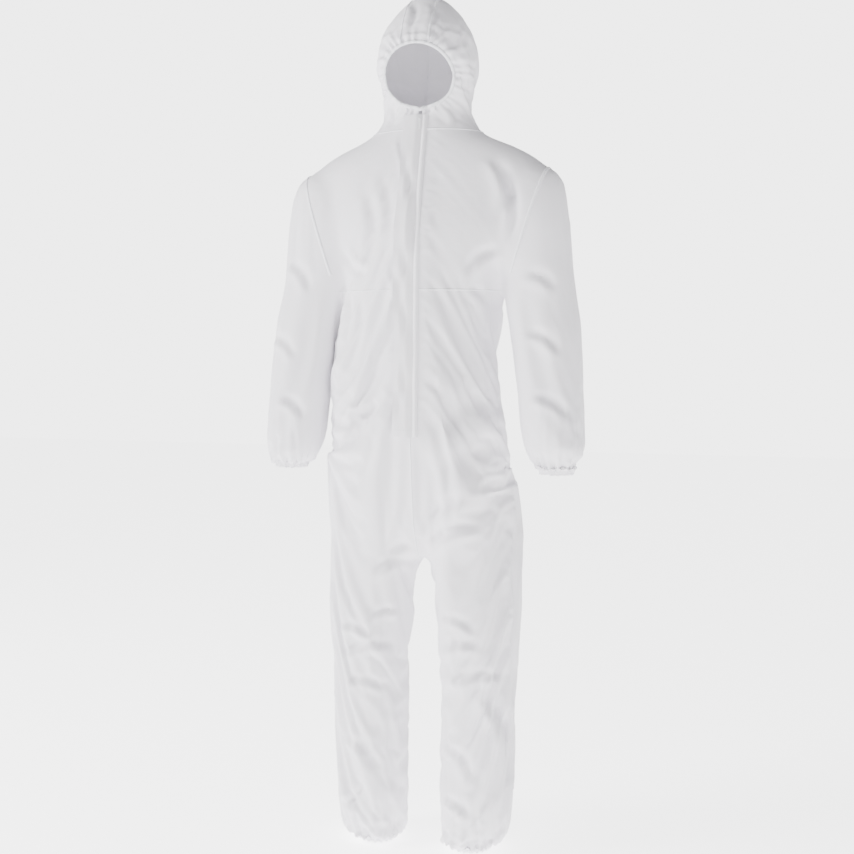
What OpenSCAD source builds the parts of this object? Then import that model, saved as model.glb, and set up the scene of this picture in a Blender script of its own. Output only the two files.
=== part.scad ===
// Hooded protective coverall, filled out as worn. Front is -Y, the wearer's left is +X, up is +Z.
// The origin is the middle of the neckline seam. Cloth panels are closed shells of even thickness.

/* [Fabric] */
// Thickness of the cloth shells
wall = 2; // [1.6:0.1:3]
// Gap left between two panels at a seam
seam_gap = 0.6; // [0.5:0.1:1]

/* [Front closure] */
// Distance from the centre line to the edge of each front panel
front_edge = 5; // [4.6:0.1:6]
// Height of the zip's upper end above the neckline
zip_top = 32; // [26:1:34]
// Depth of the zip's lower end below the neckline
zip_bottom = 632; // [560:1:660]
// Width of the loose part of the storm flap
flap_w = 42; // [36:1:48]
// How far the flap stands off the zip
flap_rise = 10.5; // [10.5:0.5:12]

/* [Hood] */
// Width of the face opening
face_w = 144; // [130:1:150]
// Height of the face opening
face_h = 118; // [110:1:122]
// Half width of the hood's centre panel
crown_w = 30; // [24:1:34]
// Thickness of the elastic round the face opening
face_elastic_d = 5; // [3:0.5:5]

/* [Sleeves] */
// Inner radius of the relaxed wrist elastic
wrist_r = 30; // [26:0.5:31]
// Extra outward set of the right sleeve
right_arm_set = 10; // [9:1:14]

/* [Legs] */
// Inner radius of the relaxed ankle elastic
ankle_r = 37; // [32:0.5:38]

/* [Hidden] */
$fn = 64;

// Tables of level sections: height, middle x, front y, back y, half width, squareness.
// Squareness 2 is an ellipse, and more is boxier.
hood_top = 293;
hood_table = [
    [hood_top, 0, 0, 16, 8, 2], [285, 0, -22, 52, 31, 2], [267, 0, -46, 80, 57, 2], [240, 0, -72, 103, 79, 2.1],
    [214, 0, -92, 117, 94, 2.1], [188, 0, -103, 124, 104, 2.1], [162, 0, -107, 124, 109, 2.1],
    [136, 0, -105, 119, 110, 2.1], [110, 0, -96, 109, 106, 2.1], [84, 0, -78, 97, 100, 2.1],
    [66, 0, -60, 89, 97, 2.1], [54, 0, -50, 87, 96, 2.1],
];
body_table = [
    [52, 0, -49.5, 86, 95, 2.1], [25, 0, -57, 90, 101, 2.1], [1, 0, -63.8, 97, 113, 2.1],
    [-3, 0, -64.9, 98, 118, 2.1], [-12, 0, -67.5, 101, 147, 2.1], [-24, 0, -70.8, 104, 180, 2.1],
    [-40, 0, -75.3, 108, 214, 2.1], [-58, 0, -80.4, 112, 243, 2.1], [-74, 0, -84.9, 115, 262, 2.1],
    [-100, 0, -92.2, 118, 268, 2.1], [-150, 0, -106.3, 122, 258, 2.1], [-206, 0, -122, 124, 236, 2.2],
    [-270, -2, -128, 122, 196, 2.3], [-290, -5, -129, 121, 178, 2.4], [-336, -10, -131, 118, 176, 2.4],
    [-363, -13, -133, 117, 177, 2.4], [-436, -23, -135, 115, 183, 2.4], [-540, -22, -139, 116, 194, 2.4],
    [-670, -13, -141, 124, 205, 2.4], [-780, -5, -134, 126, 212, 2.4], [-842, -2, -122, 118, 215, 2.3],
    [-872, 0, -110, 106, 216, 2.2],
];
sleeve_table = [
    [-77, 211, -54, 76, 60, 2], [-100, 212, -60, 84, 81, 2], [-150, 206, -70, 84, 100, 2.1],
    [-206, 203, -75, 76, 110, 2.2], [-262, 188, -76, 66, 131, 2.4], [-282, 182, -76, 62, 138, 2.5],
    [-284, 254, -78, 62, 66, 2], [-320, 258, -82, 56, 70, 2.1], [-363, 263, -86, 50, 74, 2.1],
    [-436, 273, -94, 42, 70, 2.1], [-540, 283, -101, 29, 67, 2.1], [-644, 291, -107, 19, 63, 2.1],
    [-672, 292, -106, 14, 59, 2], [-690, 292, -98, 6, 51, 2], [-700, 292, -86, -7, 39.5, 2],
    [-704, 292, -79.5, -12.5, 33.5, 2],
];
leg_table = [
    [-874, 109, -109, 105, 105, 2.1], [-906, 111, -112, 92, 103, 2.1], [-1008, 118, -116, 78, 95, 2.1],
    [-1110, 119, -116, 66, 89, 2.1], [-1216, 118, -114, 60, 85, 2.1], [-1330, 114, -110, 57, 82, 2.1],
    [-1424, 110, -107, 56, 81, 2.1], [-1480, 108, -104, 56, 79, 2.1], [-1505, 107, -98, 50, 70, 2],
    [-1520, 107, -86, 38, 57, 2], [-1527, 107, -72, 24, 44, 2], [-1530, 107, -64.5, 16.5, 40.5, 2],
];

// Heights where one panel ends and the next begins
hood_z = 42;
neck_z = 39;
armhole_top = -74;
armpit = -284;
chest_seam = -336;
waist = -560;
body_end = -778;
crotch = -872;
thigh_z = -906;
knee_top = -1022;
knee_end = -1202;
shin_end = -1470;
leg_end = -1530;
elbow_top = -363;
elbow_end = -515;
forearm_end = -655;
sleeve_end = -704;
elastic_h = 12;
// How far the armhole opens towards the front and back, at each height
armhole_table = [[armpit, 14], [-262, 25], [-206, 33], [-150, 40], [armhole_top, 40]];
zip_run_end = -206;
cloth = [0.93, 0.93, 0.95];
trim = [0.86, 0.86, 0.9];

function column(table, k) = [for (row = table) [row[0], row[k]]];
function level(table, z) = [z, for (k = [1:5]) lookup(z, column(table, k))];
function levels(table, z0, z1, count) = [for (i = [0:count]) level(table, z0 + (z1 - z0) * i / count)];
function section_x(s, a, inset) = s[1] + (s[4] - inset) * sign(cos(a)) * pow(abs(cos(a)), 2 / s[5]);
function section_y(s, a, inset) =
    (s[2] + s[3]) / 2 + ((s[3] - s[2]) / 2 - inset) * sign(sin(a)) * pow(abs(sin(a)), 2 / s[5]);
function section_point(s, a, inset) = [section_x(s, a, inset), section_y(s, a, inset), s[0]];
// Angle on a section where the surface is at the given x, on the front (-1) or the back (1)
function angle_at(s, x, face) =
    let (r = (x - s[1]) / s[4]) face * acos(sign(r) * pow(min(abs(r), 1), s[5] / 2));
function front_y(z) = lookup(z, column(body_table, 2));

function quad(a, b, c, d) = [[a, b, c], [a, c, d]];
function flat(list) = [for (part = list) each part];

// Closed shell of cloth between the angles from[i] and to[i] of each section
module panel(sections, from, to, inset = 0, thick = wall, steps = 8) {
    rows = len(sections) - 1;
    n = steps + 1;
    half = (rows + 1) * n;
    function id(i, j) = i * n + j;
    points = [for (side = [0, 1], i = [0:rows], j = [0:steps])
        section_point(sections[i], from[i] + (to[i] - from[i]) * j / steps, inset + side * thick)];
    faces = flat([
        for (i = [0:rows - 1], j = [0:steps - 1])
            quad(id(i, j), id(i, j + 1), id(i + 1, j + 1), id(i + 1, j)),
        for (i = [0:rows - 1], j = [0:steps - 1])
            quad(half + id(i, j), half + id(i + 1, j), half + id(i + 1, j + 1), half + id(i, j + 1)),
        for (j = [0:steps - 1]) quad(id(0, j), half + id(0, j), half + id(0, j + 1), id(0, j + 1)),
        for (j = [0:steps - 1])
            quad(id(rows, j), id(rows, j + 1), half + id(rows, j + 1), half + id(rows, j)),
        for (i = [0:rows - 1]) quad(id(i, 0), id(i + 1, 0), half + id(i + 1, 0), half + id(i, 0)),
        for (i = [0:rows - 1])
            quad(id(i, steps), half + id(i, steps), half + id(i + 1, steps), id(i + 1, steps)),
    ]);
    polyhedron(points, faces);
}

// Closed shell of cloth all the way round the sections
module tube(sections, thick = wall, steps = 20) {
    rows = len(sections) - 1;
    half = (rows + 1) * steps;
    function id(i, j) = i * steps + j % steps;
    points = [for (side = [0, 1], i = [0:rows], j = [0:steps - 1])
        section_point(sections[i], 360 * j / steps, side * thick)];
    faces = flat([
        for (i = [0:rows - 1], j = [0:steps - 1])
            quad(id(i, j), id(i, j + 1), id(i + 1, j + 1), id(i + 1, j)),
        for (i = [0:rows - 1], j = [0:steps - 1])
            quad(half + id(i, j), half + id(i + 1, j), half + id(i + 1, j + 1), half + id(i, j + 1)),
        for (j = [0:steps - 1]) quad(id(0, j), half + id(0, j), half + id(0, j + 1), id(0, j + 1)),
        for (j = [0:steps - 1])
            quad(id(rows, j), id(rows, j + 1), half + id(rows, j + 1), half + id(rows, j)),
    ]);
    polyhedron(points, faces);
}

// Strip with the outline [x, y offset], swept down the centre front line
module front_strip(outline, heights) {
    n = len(outline);
    rows = len(heights) - 1;
    points = [for (z = heights, p = outline) [p[0], front_y(z) + p[1], z]];
    faces = [
        for (i = [0:rows - 1], j = [0:n - 1])
            each quad(i * n + j, i * n + (j + 1) % n, (i + 1) * n + (j + 1) % n, (i + 1) * n + j),
        [for (j = [n - 1:-1:0]) j],
        [for (j = [0:n - 1]) rows * n + j],
    ];
    polyhedron(points, faces);
}
function box_outline(x0, x1, y0, y1) = [[x0, y0], [x1, y0], [x1, y1], [x0, y1]];
// Heights down the centre front, with the corner of the profile among them
function front_heights(z0, z1) =
    [z0, for (row = body_table) if (row[0] < z0 - 1 && row[0] > z1 + 1) row[0], z1];

module on_side(side) {
    if (side > 0) children();
    else mirror([1, 0, 0]) children();
}

// Hood: two side panels, a centre panel over the crown, and the elastic round the face
face_z = hood_z + 6 + face_h / 2;
face_edge = face_elastic_d / 2 + 1.5;
function face_x(z, grow) =
    let (r = (z - face_z) / (face_h / 2 + grow)) abs(r) < 1 ? (face_w / 2 + grow) * sqrt(1 - r * r) : 0;
hood_heights = [hood_top, 285, 276, 267, 254, 240, 227, 214, 203, 195, 188, 175, 170, 166, 162, 149, 136, 123, 110, 97, 84, 74, 66, 60, 56, 51, 47, 44, hood_z];
function crown_x(z) = min(crown_w, level(hood_table, z)[4] * 0.6);

module hood_side() {
    sections = [for (z = hood_heights) level(hood_table, z)];
    panel(sections,
        [for (s = sections) angle_at(s,
            s[0] > face_z ? max(face_x(s[0], face_edge), crown_x(s[0]) + seam_gap / 2)
                          : max(face_x(s[0], face_edge), seam_gap), -1)],
        [for (s = sections) angle_at(s, crown_x(s[0]) + seam_gap / 2, 1)], steps = 9);
}
module hood_left() { color(cloth) hood_side(); }
module hood_right() { color(cloth) mirror([1, 0, 0]) hood_side(); }
module hood_centre() {
    front = [for (z = hood_heights) if (z > face_z + face_h / 2 + face_edge - 1) level(hood_table, z)];
    back = [for (z = hood_heights) level(hood_table, z)];
    color(cloth) {
        panel(front,
            [for (s = front) -180 - angle_at(s, crown_x(s[0]) - seam_gap / 2, -1)],
            [for (s = front) angle_at(s, crown_x(s[0]) - seam_gap / 2, -1)], steps = 4);
        panel(back,
            [for (s = back) angle_at(s, crown_x(s[0]) - seam_gap / 2, 1)],
            [for (s = back) 180 - angle_at(s, crown_x(s[0]) - seam_gap / 2, 1)], steps = 4);
    }
}
module face_elastic() {
    stations = 36;
    sides = 8;
    function at(u) =
        let (z = face_z + face_h / 2 * sin(u), s = level(hood_table, z), x = face_w / 2 * cos(u))
        [x, section_y(s, angle_at(s, x, -1), wall / 2), z];
    points = [for (i = [0:stations - 1], j = [0:sides - 1])
        let (u = 360 * i / stations, p = at(u), out = [cos(u), 0, sin(u)], a = 360 * j / sides,
             r = face_elastic_d / 2)
        p + r * cos(a) * out + [0, r * sin(a), 0]];
    function id(i, j) = (i % stations) * sides + j % sides;
    color(trim) polyhedron(points, flat([for (i = [0:stations - 1], j = [0:sides - 1])
        quad(id(i, j), id(i, j + 1), id(i + 1, j + 1), id(i + 1, j))]));
}

// Neck and body panels. A side is 1 for the wearer's left and -1 for the right.
side_slack = 0.15;
function side_turn(s) = s[0] < armhole_top && s[0] > armpit - 3 ? lookup(s[0], armhole_table) : side_slack;
function front_side(s, side) = side > 0 ? -side_turn(s) : side_turn(s) - 180;
function back_side(s, side) = side > 0 ? side_turn(s) : 180 - side_turn(s);

// Below the zip the two fronts are sewn together
function front_edge_at(z) = z > -zip_bottom - 10 ? front_edge : seam_gap / 2;
module front_panel(sections, side) {
    middle = [for (s = sections) angle_at(s, side * front_edge_at(s[0]), -1)];
    edge = [for (s = sections) front_side(s, side)];
    color(cloth) panel(sections, side > 0 ? middle : edge, side > 0 ? edge : middle);
}
module back_panel(sections, side) {
    middle = [for (s = sections) angle_at(s, side * seam_gap / 2, 1)];
    edge = [for (s = sections) back_side(s, side)];
    color(cloth) panel(sections, side > 0 ? edge : middle, side > 0 ? middle : edge);
}
module neck(side) {
    sections = levels(body_table, neck_z, seam_gap, 3);
    middle = [for (s = sections) angle_at(s, side * front_edge, -1)];
    back = [for (s = sections) angle_at(s, side * seam_gap / 2, 1)];
    color(cloth) panel(sections, side > 0 ? middle : back,
        side > 0 ? back : [for (a = middle) 360 + a], steps = 14);
}
chest_heights = [-seam_gap, -6, -12, -24, -40, -58, armhole_top, -78, -100, -150, -206, -250, armpit,
    -290, -310, chest_seam + seam_gap / 2];
chest_sections = [for (z = chest_heights) level(body_table, z)];
lower_heights = [chest_seam - seam_gap / 2, -363, -400, -436, -488, -540, -590, -630, -646, -700, body_end];
lower_sections = [for (z = lower_heights) level(body_table, z)];
module neck_left() { neck(1); }
module neck_right() { neck(-1); }
module chest_left() { front_panel(chest_sections, 1); }
module chest_right() { front_panel(chest_sections, -1); }
module back_yoke() {
    color(cloth) panel(chest_sections, [for (s = chest_sections) back_side(s, 1)],
        [for (s = chest_sections) back_side(s, -1)], steps = 16);
}
module front_left() { front_panel(lower_sections, 1); }
module front_right() { front_panel(lower_sections, -1); }
module back_left() { back_panel(lower_sections, 1); }
module back_right() { back_panel(lower_sections, -1); }

// Inner bands: each is a strip just inside the cloth, between two angles
module inner_band(z0, z1, from, to, thick, steps) {
    sections = levels(body_table, z0, z1, 1);
    panel(sections, [from, from], [to, to], inset = wall + 2, thick = thick, steps = steps);
}
band_front_gap = 12;
module waist_elastic() { color(trim) inner_band(waist + 12, waist - 12, 20, 160, 1.2, 16); }
module chest_seam_binding() {
    color(trim) inner_band(chest_seam + 5, chest_seam - 5, band_front_gap - 90, 270 - band_front_gap, 0.8, 28);
}
module neck_seam_binding() {
    color(trim) inner_band(7, 1, 2 * band_front_gap - 90, 270 - 2 * band_front_gap, 0.8, 24);
}
module size_label() { color("white") translate([-20, 90, -60]) cube([40, 0.6, 52]); }
module crotch_gusset() {
    color(cloth) translate([0, -2, crotch + 1.5]) linear_extrude(wall)
        polygon([[-3, -60], [3, -60], [7, 0], [3, 60], [-3, 60], [-7, 0]]);
}

// Zip: two tapes behind the front edges, a coil on each, stops, slider and pull
coil_w = 2.4;
coil_gap = 0.1;
tape_w = 14;
zip_heights = front_heights(zip_top, -zip_bottom);
module zip_tape(side) {
    outline = side > 0 ? box_outline(coil_gap + 0.2, tape_w, wall + 2.4, wall + 3)
                       : box_outline(-tape_w, -coil_gap - 0.2, wall + 2.4, wall + 3);
    color("white") front_strip(outline, zip_heights);
}
module zip_teeth(side) {
    outline = side > 0 ? box_outline(coil_gap, coil_w, 0.4, wall + 2.3)
                       : box_outline(-coil_w, -coil_gap, 0.4, wall + 2.3);
    color("white") front_strip(outline, front_heights(zip_top - 4, -zip_bottom + 6));
}
module zip_tape_left() { zip_tape(1); }
module zip_tape_right() { zip_tape(-1); }
module zip_teeth_left() { zip_teeth(1); }
module zip_teeth_right() { zip_teeth(-1); }
module zip_top_stops() {
    color("silver") for (side = [-1, 1])
        translate([side * 1.4, front_y(zip_top) + 2.2, zip_top - 1.6]) cube([2, 2.4, 3], center = true);
}
module zip_bottom_stop() {
    z = 3 - zip_bottom;
    color("silver") translate([0, front_y(z) + 1.6, z]) cube([6, 2, 4], center = true);
}
// The slider lies along the upper run of the zip, which leans back towards the neck
run_lean = atan((front_y(zip_run_end) - front_y(0)) / zip_run_end);
slider_z = zip_top - 14;
slider_l = 11;
plate_t = 1.2;
bail_r = 1;
module on_zip(z) { translate([0, front_y(z), z]) rotate([-run_lean, 0, 0]) children(); }
module zip_slider() {
    color("silver") on_zip(slider_z) {
        translate([-4.2, -plate_t - 0.3, -slider_l / 2]) cube([8.4, plate_t, slider_l]);
        for (x = [-4.2, 2.9]) translate([x, -0.3, -slider_l / 2]) cube([1.3, 1.9, slider_l]);
        for (x = [-2.6, 1.4]) translate([x, -plate_t - 2.9, 1.5]) cube([1.2, 2.6, 3]);
        translate([-2.6, -plate_t - 2, 3]) rotate([0, 90, 0]) cylinder(h = 5.2, r = 0.6);
    }
}
pull_l = 22;
module zip_pull() {
    color("silver") on_zip(slider_z) translate([0, -plate_t - 2, 3]) rotate([90, 0, 0])
        difference() {
            union() {
                translate([-1.2, -pull_l, -0.6]) cube([2.4, pull_l, 1.2]);
                translate([-1.2, 0, 0]) rotate([0, 90, 0]) cylinder(h = 2.4, r = 1.25);
                translate([-3, -pull_l, -0.6]) cube([6, 12, 1.2]);
            }
            translate([-2, 0, 0]) rotate([0, 90, 0]) cylinder(h = 4, r = 0.7);
        }
}

// Storm flap: a sewn strip on the left front, and a loose part that covers the zip
strip_x0 = 6;
strip_x1 = 20;
flap_t = 1;
flap_top = 32;
flap_heights = front_heights(flap_top, -640);
hinge_x = 4.6;
free_x = strip_x0 - flap_w - 4;
lip_t = 1;
// Inside face of the loose part: it slopes from the sewn edge down to the free edge
function flap_y(x) = -2 - (flap_rise - 2) * (x - free_x) / (hinge_x - free_x);
function flap_layer(x0, x1, near, far) =
    [[x0, flap_y(x0) + near], [x1, flap_y(x1) + near], [x1, flap_y(x1) + far], [x0, flap_y(x0) + far]];
module flap_sewn_strip() {
    lip = hinge_x + 0.3;
    color(cloth) front_strip([[lip, 0.7 - flap_rise], [lip + lip_t, 0.7 - flap_rise], [lip + lip_t, -1.6],
        [strip_x1, -1.6], [strip_x1, -0.4], [lip, -0.4]], flap_heights);
}
module storm_flap() { color(cloth) front_strip(flap_layer(free_x, hinge_x, -flap_t, 0), flap_heights); }
adhesive_x0 = -27;
adhesive_x1 = -11;
module flap_adhesive() {
    color("gainsboro") front_strip(flap_layer(adhesive_x0, adhesive_x1, 0.2, 0.5), flap_heights);
}
module flap_liner() {
    color("white") front_strip(flap_layer(adhesive_x0 - 1, adhesive_x1 + 1, 0.6, 0.9), flap_heights);
}

// Sleeves, modelled on the wearer's left and mirrored for the right
function arm_set(side) = side > 0 ? 0 : right_arm_set;
function shifted(sections, dx) = [for (s = sections) [s[0], s[1] + dx, s[2], s[3], s[4], s[5]]];
// The head spreads from the armhole, which stays put, so its outside alone takes the extra set
module sleeve_head(side) {
    heights = [-77, -88, -100, -125, -150, -178, -206, -235, -262, armpit + 2];
    sections = [for (z = heights) let (s = level(sleeve_table, z)) [z, s[1], s[2], s[3], s[4] + arm_set(side), s[5]]];
    ends = [for (s = sections) 86];
    color(cloth) on_side(side) panel(sections, -ends, ends, steps = 12);
}
module sleeve_part(side, z0, z1, count) {
    color(cloth) on_side(side) tube(shifted(levels(sleeve_table, z0, z1, count), arm_set(side)));
}
module sleeve_upper(side) { sleeve_part(side, armpit, elbow_top, 2); }
module sleeve_elbow(side) { sleeve_part(side, elbow_top - seam_gap, elbow_end, 3); }
module sleeve_forearm(side) { sleeve_part(side, elbow_end - seam_gap, forearm_end, 3); }
module cuff(side) {
    heights = [forearm_end - seam_gap, -672, -682, -690, -700, sleeve_end];
    color(cloth) on_side(side) tube(shifted([for (z = heights) level(sleeve_table, z)], arm_set(side)));
}
module elastic_ring(x, y, z, r) {
    color(trim) translate([x, y, z - elastic_h]) difference() {
        cylinder(h = elastic_h, r = r + 2);
        translate([0, 0, -1]) cylinder(h = elastic_h + 2, r = r);
    }
}
function middle_y(s) = (s[2] + s[3]) / 2;
module wrist_elastic(side) {
    s = level(sleeve_table, sleeve_end);
    on_side(side) elastic_ring(s[1] + arm_set(side), middle_y(s), sleeve_end - seam_gap, wrist_r);
}
module left_sleeve_head() { sleeve_head(1); }
module right_sleeve_head() { sleeve_head(-1); }
module left_sleeve_upper() { sleeve_upper(1); }
module right_sleeve_upper() { sleeve_upper(-1); }
module left_sleeve_elbow() { sleeve_elbow(1); }
module right_sleeve_elbow() { sleeve_elbow(-1); }
module left_sleeve_forearm() { sleeve_forearm(1); }
module right_sleeve_forearm() { sleeve_forearm(-1); }
module left_cuff() { cuff(1); }
module right_cuff() { cuff(-1); }
module left_wrist_elastic() { wrist_elastic(1); }
module right_wrist_elastic() { wrist_elastic(-1); }

// Legs. The hip section is open to the other leg above the crotch and closed below it.
module hip(side) {
    above = levels(body_table, body_end - seam_gap, crotch, 3);
    color(cloth) {
        panel(above, [for (s = above) side > 0 ? angle_at(s, seam_gap / 2, -1) : angle_at(s, -seam_gap / 2, 1)],
            [for (s = above) side > 0 ? angle_at(s, seam_gap / 2, 1) : 360 + angle_at(s, -seam_gap / 2, -1)],
            steps = 16);
        on_side(side) tube(levels(leg_table, -874, thigh_z, 1));
    }
}
module leg_part(side, z0, z1, count) { color(cloth) on_side(side) tube(levels(leg_table, z0, z1, count)); }
module thigh(side) { leg_part(side, thigh_z - seam_gap, knee_top, 2); }
module knee(side) { leg_part(side, knee_top - seam_gap, knee_end, 3); }
module shin(side) { leg_part(side, knee_end - seam_gap, shin_end, 4); }
module leg_hem(side) {
    heights = [shin_end - seam_gap, -1480, -1493, -1505, -1513, -1520, -1527, leg_end];
    color(cloth) on_side(side) tube([for (z = heights) level(leg_table, z)]);
}
module ankle_elastic(side) {
    s = level(leg_table, leg_end);
    on_side(side) elastic_ring(s[1], middle_y(s), leg_end - seam_gap, ankle_r);
}
module left_hip() { hip(1); }
module right_hip() { hip(-1); }
module left_thigh() { thigh(1); }
module right_thigh() { thigh(-1); }
module left_knee() { knee(1); }
module right_knee() { knee(-1); }
module left_shin() { shin(1); }
module right_shin() { shin(-1); }
module left_leg_end() { leg_hem(1); }
module right_leg_end() { leg_hem(-1); }
module left_ankle_elastic() { ankle_elastic(1); }
module right_ankle_elastic() { ankle_elastic(-1); }

hood_left();
hood_right();
hood_centre();
face_elastic();
neck_left();
neck_right();
chest_left();
chest_right();
back_yoke();
front_left();
front_right();
back_left();
back_right();
waist_elastic();
chest_seam_binding();
neck_seam_binding();
crotch_gusset();
size_label();
zip_tape_left();
zip_tape_right();
zip_teeth_left();
zip_teeth_right();
zip_top_stops();
zip_bottom_stop();
zip_slider();
zip_pull();
storm_flap();
flap_sewn_strip();
flap_adhesive();
flap_liner();
left_sleeve_head();
left_sleeve_upper();
left_sleeve_elbow();
left_sleeve_forearm();
left_cuff();
left_wrist_elastic();
right_sleeve_head();
right_sleeve_upper();
right_sleeve_elbow();
right_sleeve_forearm();
right_cuff();
right_wrist_elastic();
left_hip();
left_thigh();
left_knee();
left_shin();
left_leg_end();
left_ankle_elastic();
right_hip();
right_thigh();
right_knee();
right_shin();
right_leg_end();
right_ankle_elastic();
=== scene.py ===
"""Looks of a hooded protective coverall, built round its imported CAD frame."""
import math

import bmesh
import bpy
import numpy as np
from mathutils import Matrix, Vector, noise
from mathutils.bvhtree import BVHTree


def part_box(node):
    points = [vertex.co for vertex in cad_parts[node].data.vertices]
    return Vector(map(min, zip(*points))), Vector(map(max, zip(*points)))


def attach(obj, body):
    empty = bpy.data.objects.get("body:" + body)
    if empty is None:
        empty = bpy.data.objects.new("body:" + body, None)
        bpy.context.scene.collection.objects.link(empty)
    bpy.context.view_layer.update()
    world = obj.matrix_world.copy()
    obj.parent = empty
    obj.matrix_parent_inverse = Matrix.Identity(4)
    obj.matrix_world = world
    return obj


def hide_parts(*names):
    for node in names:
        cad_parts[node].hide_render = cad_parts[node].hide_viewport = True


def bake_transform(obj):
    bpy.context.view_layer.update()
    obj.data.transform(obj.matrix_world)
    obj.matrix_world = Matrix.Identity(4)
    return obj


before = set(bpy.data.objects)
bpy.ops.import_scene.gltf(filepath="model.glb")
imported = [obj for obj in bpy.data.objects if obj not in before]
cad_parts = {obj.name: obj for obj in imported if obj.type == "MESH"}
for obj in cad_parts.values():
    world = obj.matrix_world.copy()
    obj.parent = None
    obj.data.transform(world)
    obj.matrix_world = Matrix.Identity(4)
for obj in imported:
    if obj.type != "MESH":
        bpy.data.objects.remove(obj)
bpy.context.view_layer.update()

MM = 0.001

# ---------------------------------------------------------------- heights and places, from the frame


def low(node):
    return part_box(node)[0]


def high(node):
    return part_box(node)[1]


def middle(node):
    lo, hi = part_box(node)
    return [(a + b) / 2 for a, b in zip(lo, hi)]


NECK_TOP = high("neck_left")[2]
NECKLINE = 0.0
CHEST_SEAM = low("chest_left")[2]
WAIST = middle("waist_elastic")[2]
FLAP_TOP = high("storm_flap")[2]
FLAP_END = low("storm_flap")[2]
WRIST = high("left_wrist_elastic")[2]
ANKLE = high("left_ankle_elastic")[2]
FACE = middle("face_elastic")
FACE_HALF = [(high("face_elastic")[k] - low("face_elastic")[k]) / 2 for k in (0, 2)]

# ---------------------------------------------------------------- volumes that the cloth hangs on
# Level sections, in millimetres: height, middle x, front y, back y, half width, squareness.
HOOD = [
    (292, 0, 0, 18, 10, 2), (288, 0, -18, 42, 27, 2), (278, 0, -36, 66, 45, 2), (264, 0, -50, 83, 60, 2),
    (240, 0, -72, 103, 79, 2.1), (214, 0, -90, 116, 94, 2.1), (188, 0, -101, 122, 104, 2.1),
    (160, 0, -105, 123, 108, 2.1), (136, 0, -103, 118, 108, 2.1), (110, 0, -95, 108, 104, 2.1),
    (84, 0, -78, 97, 99, 2.1), (60, 0, -58, 88, 95, 2.1), (40, 0, -52, 86, 96, 2.1), (10, 0, -60, 92, 100, 2.1),
]
BODY = [
    (50, 0, -48, 84, 92, 2.1), (25, 0, -56, 88, 99, 2.1), (2, 0, -63, 95, 113, 2.1), (-10, 0, -66, 100, 136, 2.1),
    (-24, 0, -70, 104, 172, 2.1), (-40, 0, -75, 108, 208, 2.1), (-58, 0, -80, 112, 238, 2.1),
    (-78, 0, -86, 115, 258, 2.1), (-100, 0, -92, 118, 262, 2.1), (-150, 0, -106, 121, 250, 2.1),
    (-206, 0, -120, 123, 226, 2.2), (-262, -2, -126, 121, 192, 2.3), (-300, -6, -128, 119, 175, 2.4),
    (-336, -10, -130, 117, 173, 2.4), (-380, -15, -132, 115, 176, 2.4), (-436, -23, -134, 114, 181, 2.4),
    (-540, -22, -137, 115, 192, 2.4), (-670, -13, -139, 122, 203, 2.4), (-780, -5, -132, 124, 210, 2.4),
    (-842, -2, -121, 116, 212, 2.3), (-868, 0, -112, 108, 213, 2.2), (-876, 0, -90, 88, 206, 2.1),
]
SLEEVE = [
    (-74, 226, -20, 44, 30, 2), (-84, 219, -44, 66, 58, 2), (-100, 214, -58, 80, 77, 2), (-125, 212, -68, 86, 88, 2),
    (-150, 212, -74, 86, 93, 2), (-206, 214, -80, 80, 98, 2.1), (-262, 226, -80, 68, 90, 2.1),
    (-290, 240, -80, 62, 78, 2.1), (-320, 250, -82, 56, 73, 2.1), (-363, 262, -86, 50, 72, 2.1),
    (-436, 273, -94, 42, 69, 2.1), (-540, 283, -101, 29, 66, 2.1), (-644, 291, -107, 19, 62, 2.1),
    (-672, 292, -106, 14, 58, 2), (-688, 292, -99, 7, 51.5, 2), (-698, 292, -90, -2, 43, 2),
    (-704, 292, -81, -11, 35, 2), (-735, 292, -80, -12, 34, 2),
]
LEG = [
    (-800, 104, -118, 112, 92, 2.2), (-850, 107, -116, 110, 100, 2.2), (-880, 109, -112, 104, 101.5, 2.1),
    (-940, 113, -112, 88, 98, 2.1), (-1008, 117, -114, 77, 94, 2.1), (-1110, 118, -114, 66, 88.5, 2.1),
    (-1216, 117, -112, 60, 84.5, 2.1), (-1330, 113, -108, 57, 81.5, 2.1), (-1424, 110, -105, 56, 80, 2.1),
    (-1478, 108, -103, 54, 77, 2.1), (-1502, 107, -98, 48, 70, 2), (-1518, 107, -88, 39, 59, 2),
    (-1526, 107, -78, 30, 49, 2), (-1532, 107, -66, 18, 42, 2), (-1565, 107, -65, 17, 41, 2),
]
RIGHT_ARM_SET = 0.004
SPLAY = 0.018  # the sleeves are held this far out while the cloth is made, then let back in


def curve(table, z, k):
    """Column k of a table at height z, on a smooth curve through its rows."""
    zs = np.array([row[0] for row in table][::-1], float) * MM
    vs = np.array([row[k] for row in table][::-1], float)
    slope = np.gradient(vs, zs)
    i = np.clip(np.searchsorted(zs, z) - 1, 0, len(zs) - 2)
    h = zs[i + 1] - zs[i]
    t = np.clip((z - zs[i]) / h, 0, 1)
    secant = (vs[i + 1] - vs[i]) / h
    # limiting the slopes keeps the curve from swinging past its rows
    m0 = np.where(slope[i] * secant > 0, np.sign(secant) * np.minimum(abs(slope[i]), 3 * abs(secant)), 0)
    m1 = np.where(slope[i + 1] * secant > 0, np.sign(secant) * np.minimum(abs(slope[i + 1]), 3 * abs(secant)), 0)
    a, b = 2 * t**3 - 3 * t**2 + 1, t**3 - 2 * t**2 + t
    return a * vs[i] + b * h * m0 + (1 - a) * vs[i + 1] + (t**3 - t**2) * h * m1


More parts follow.
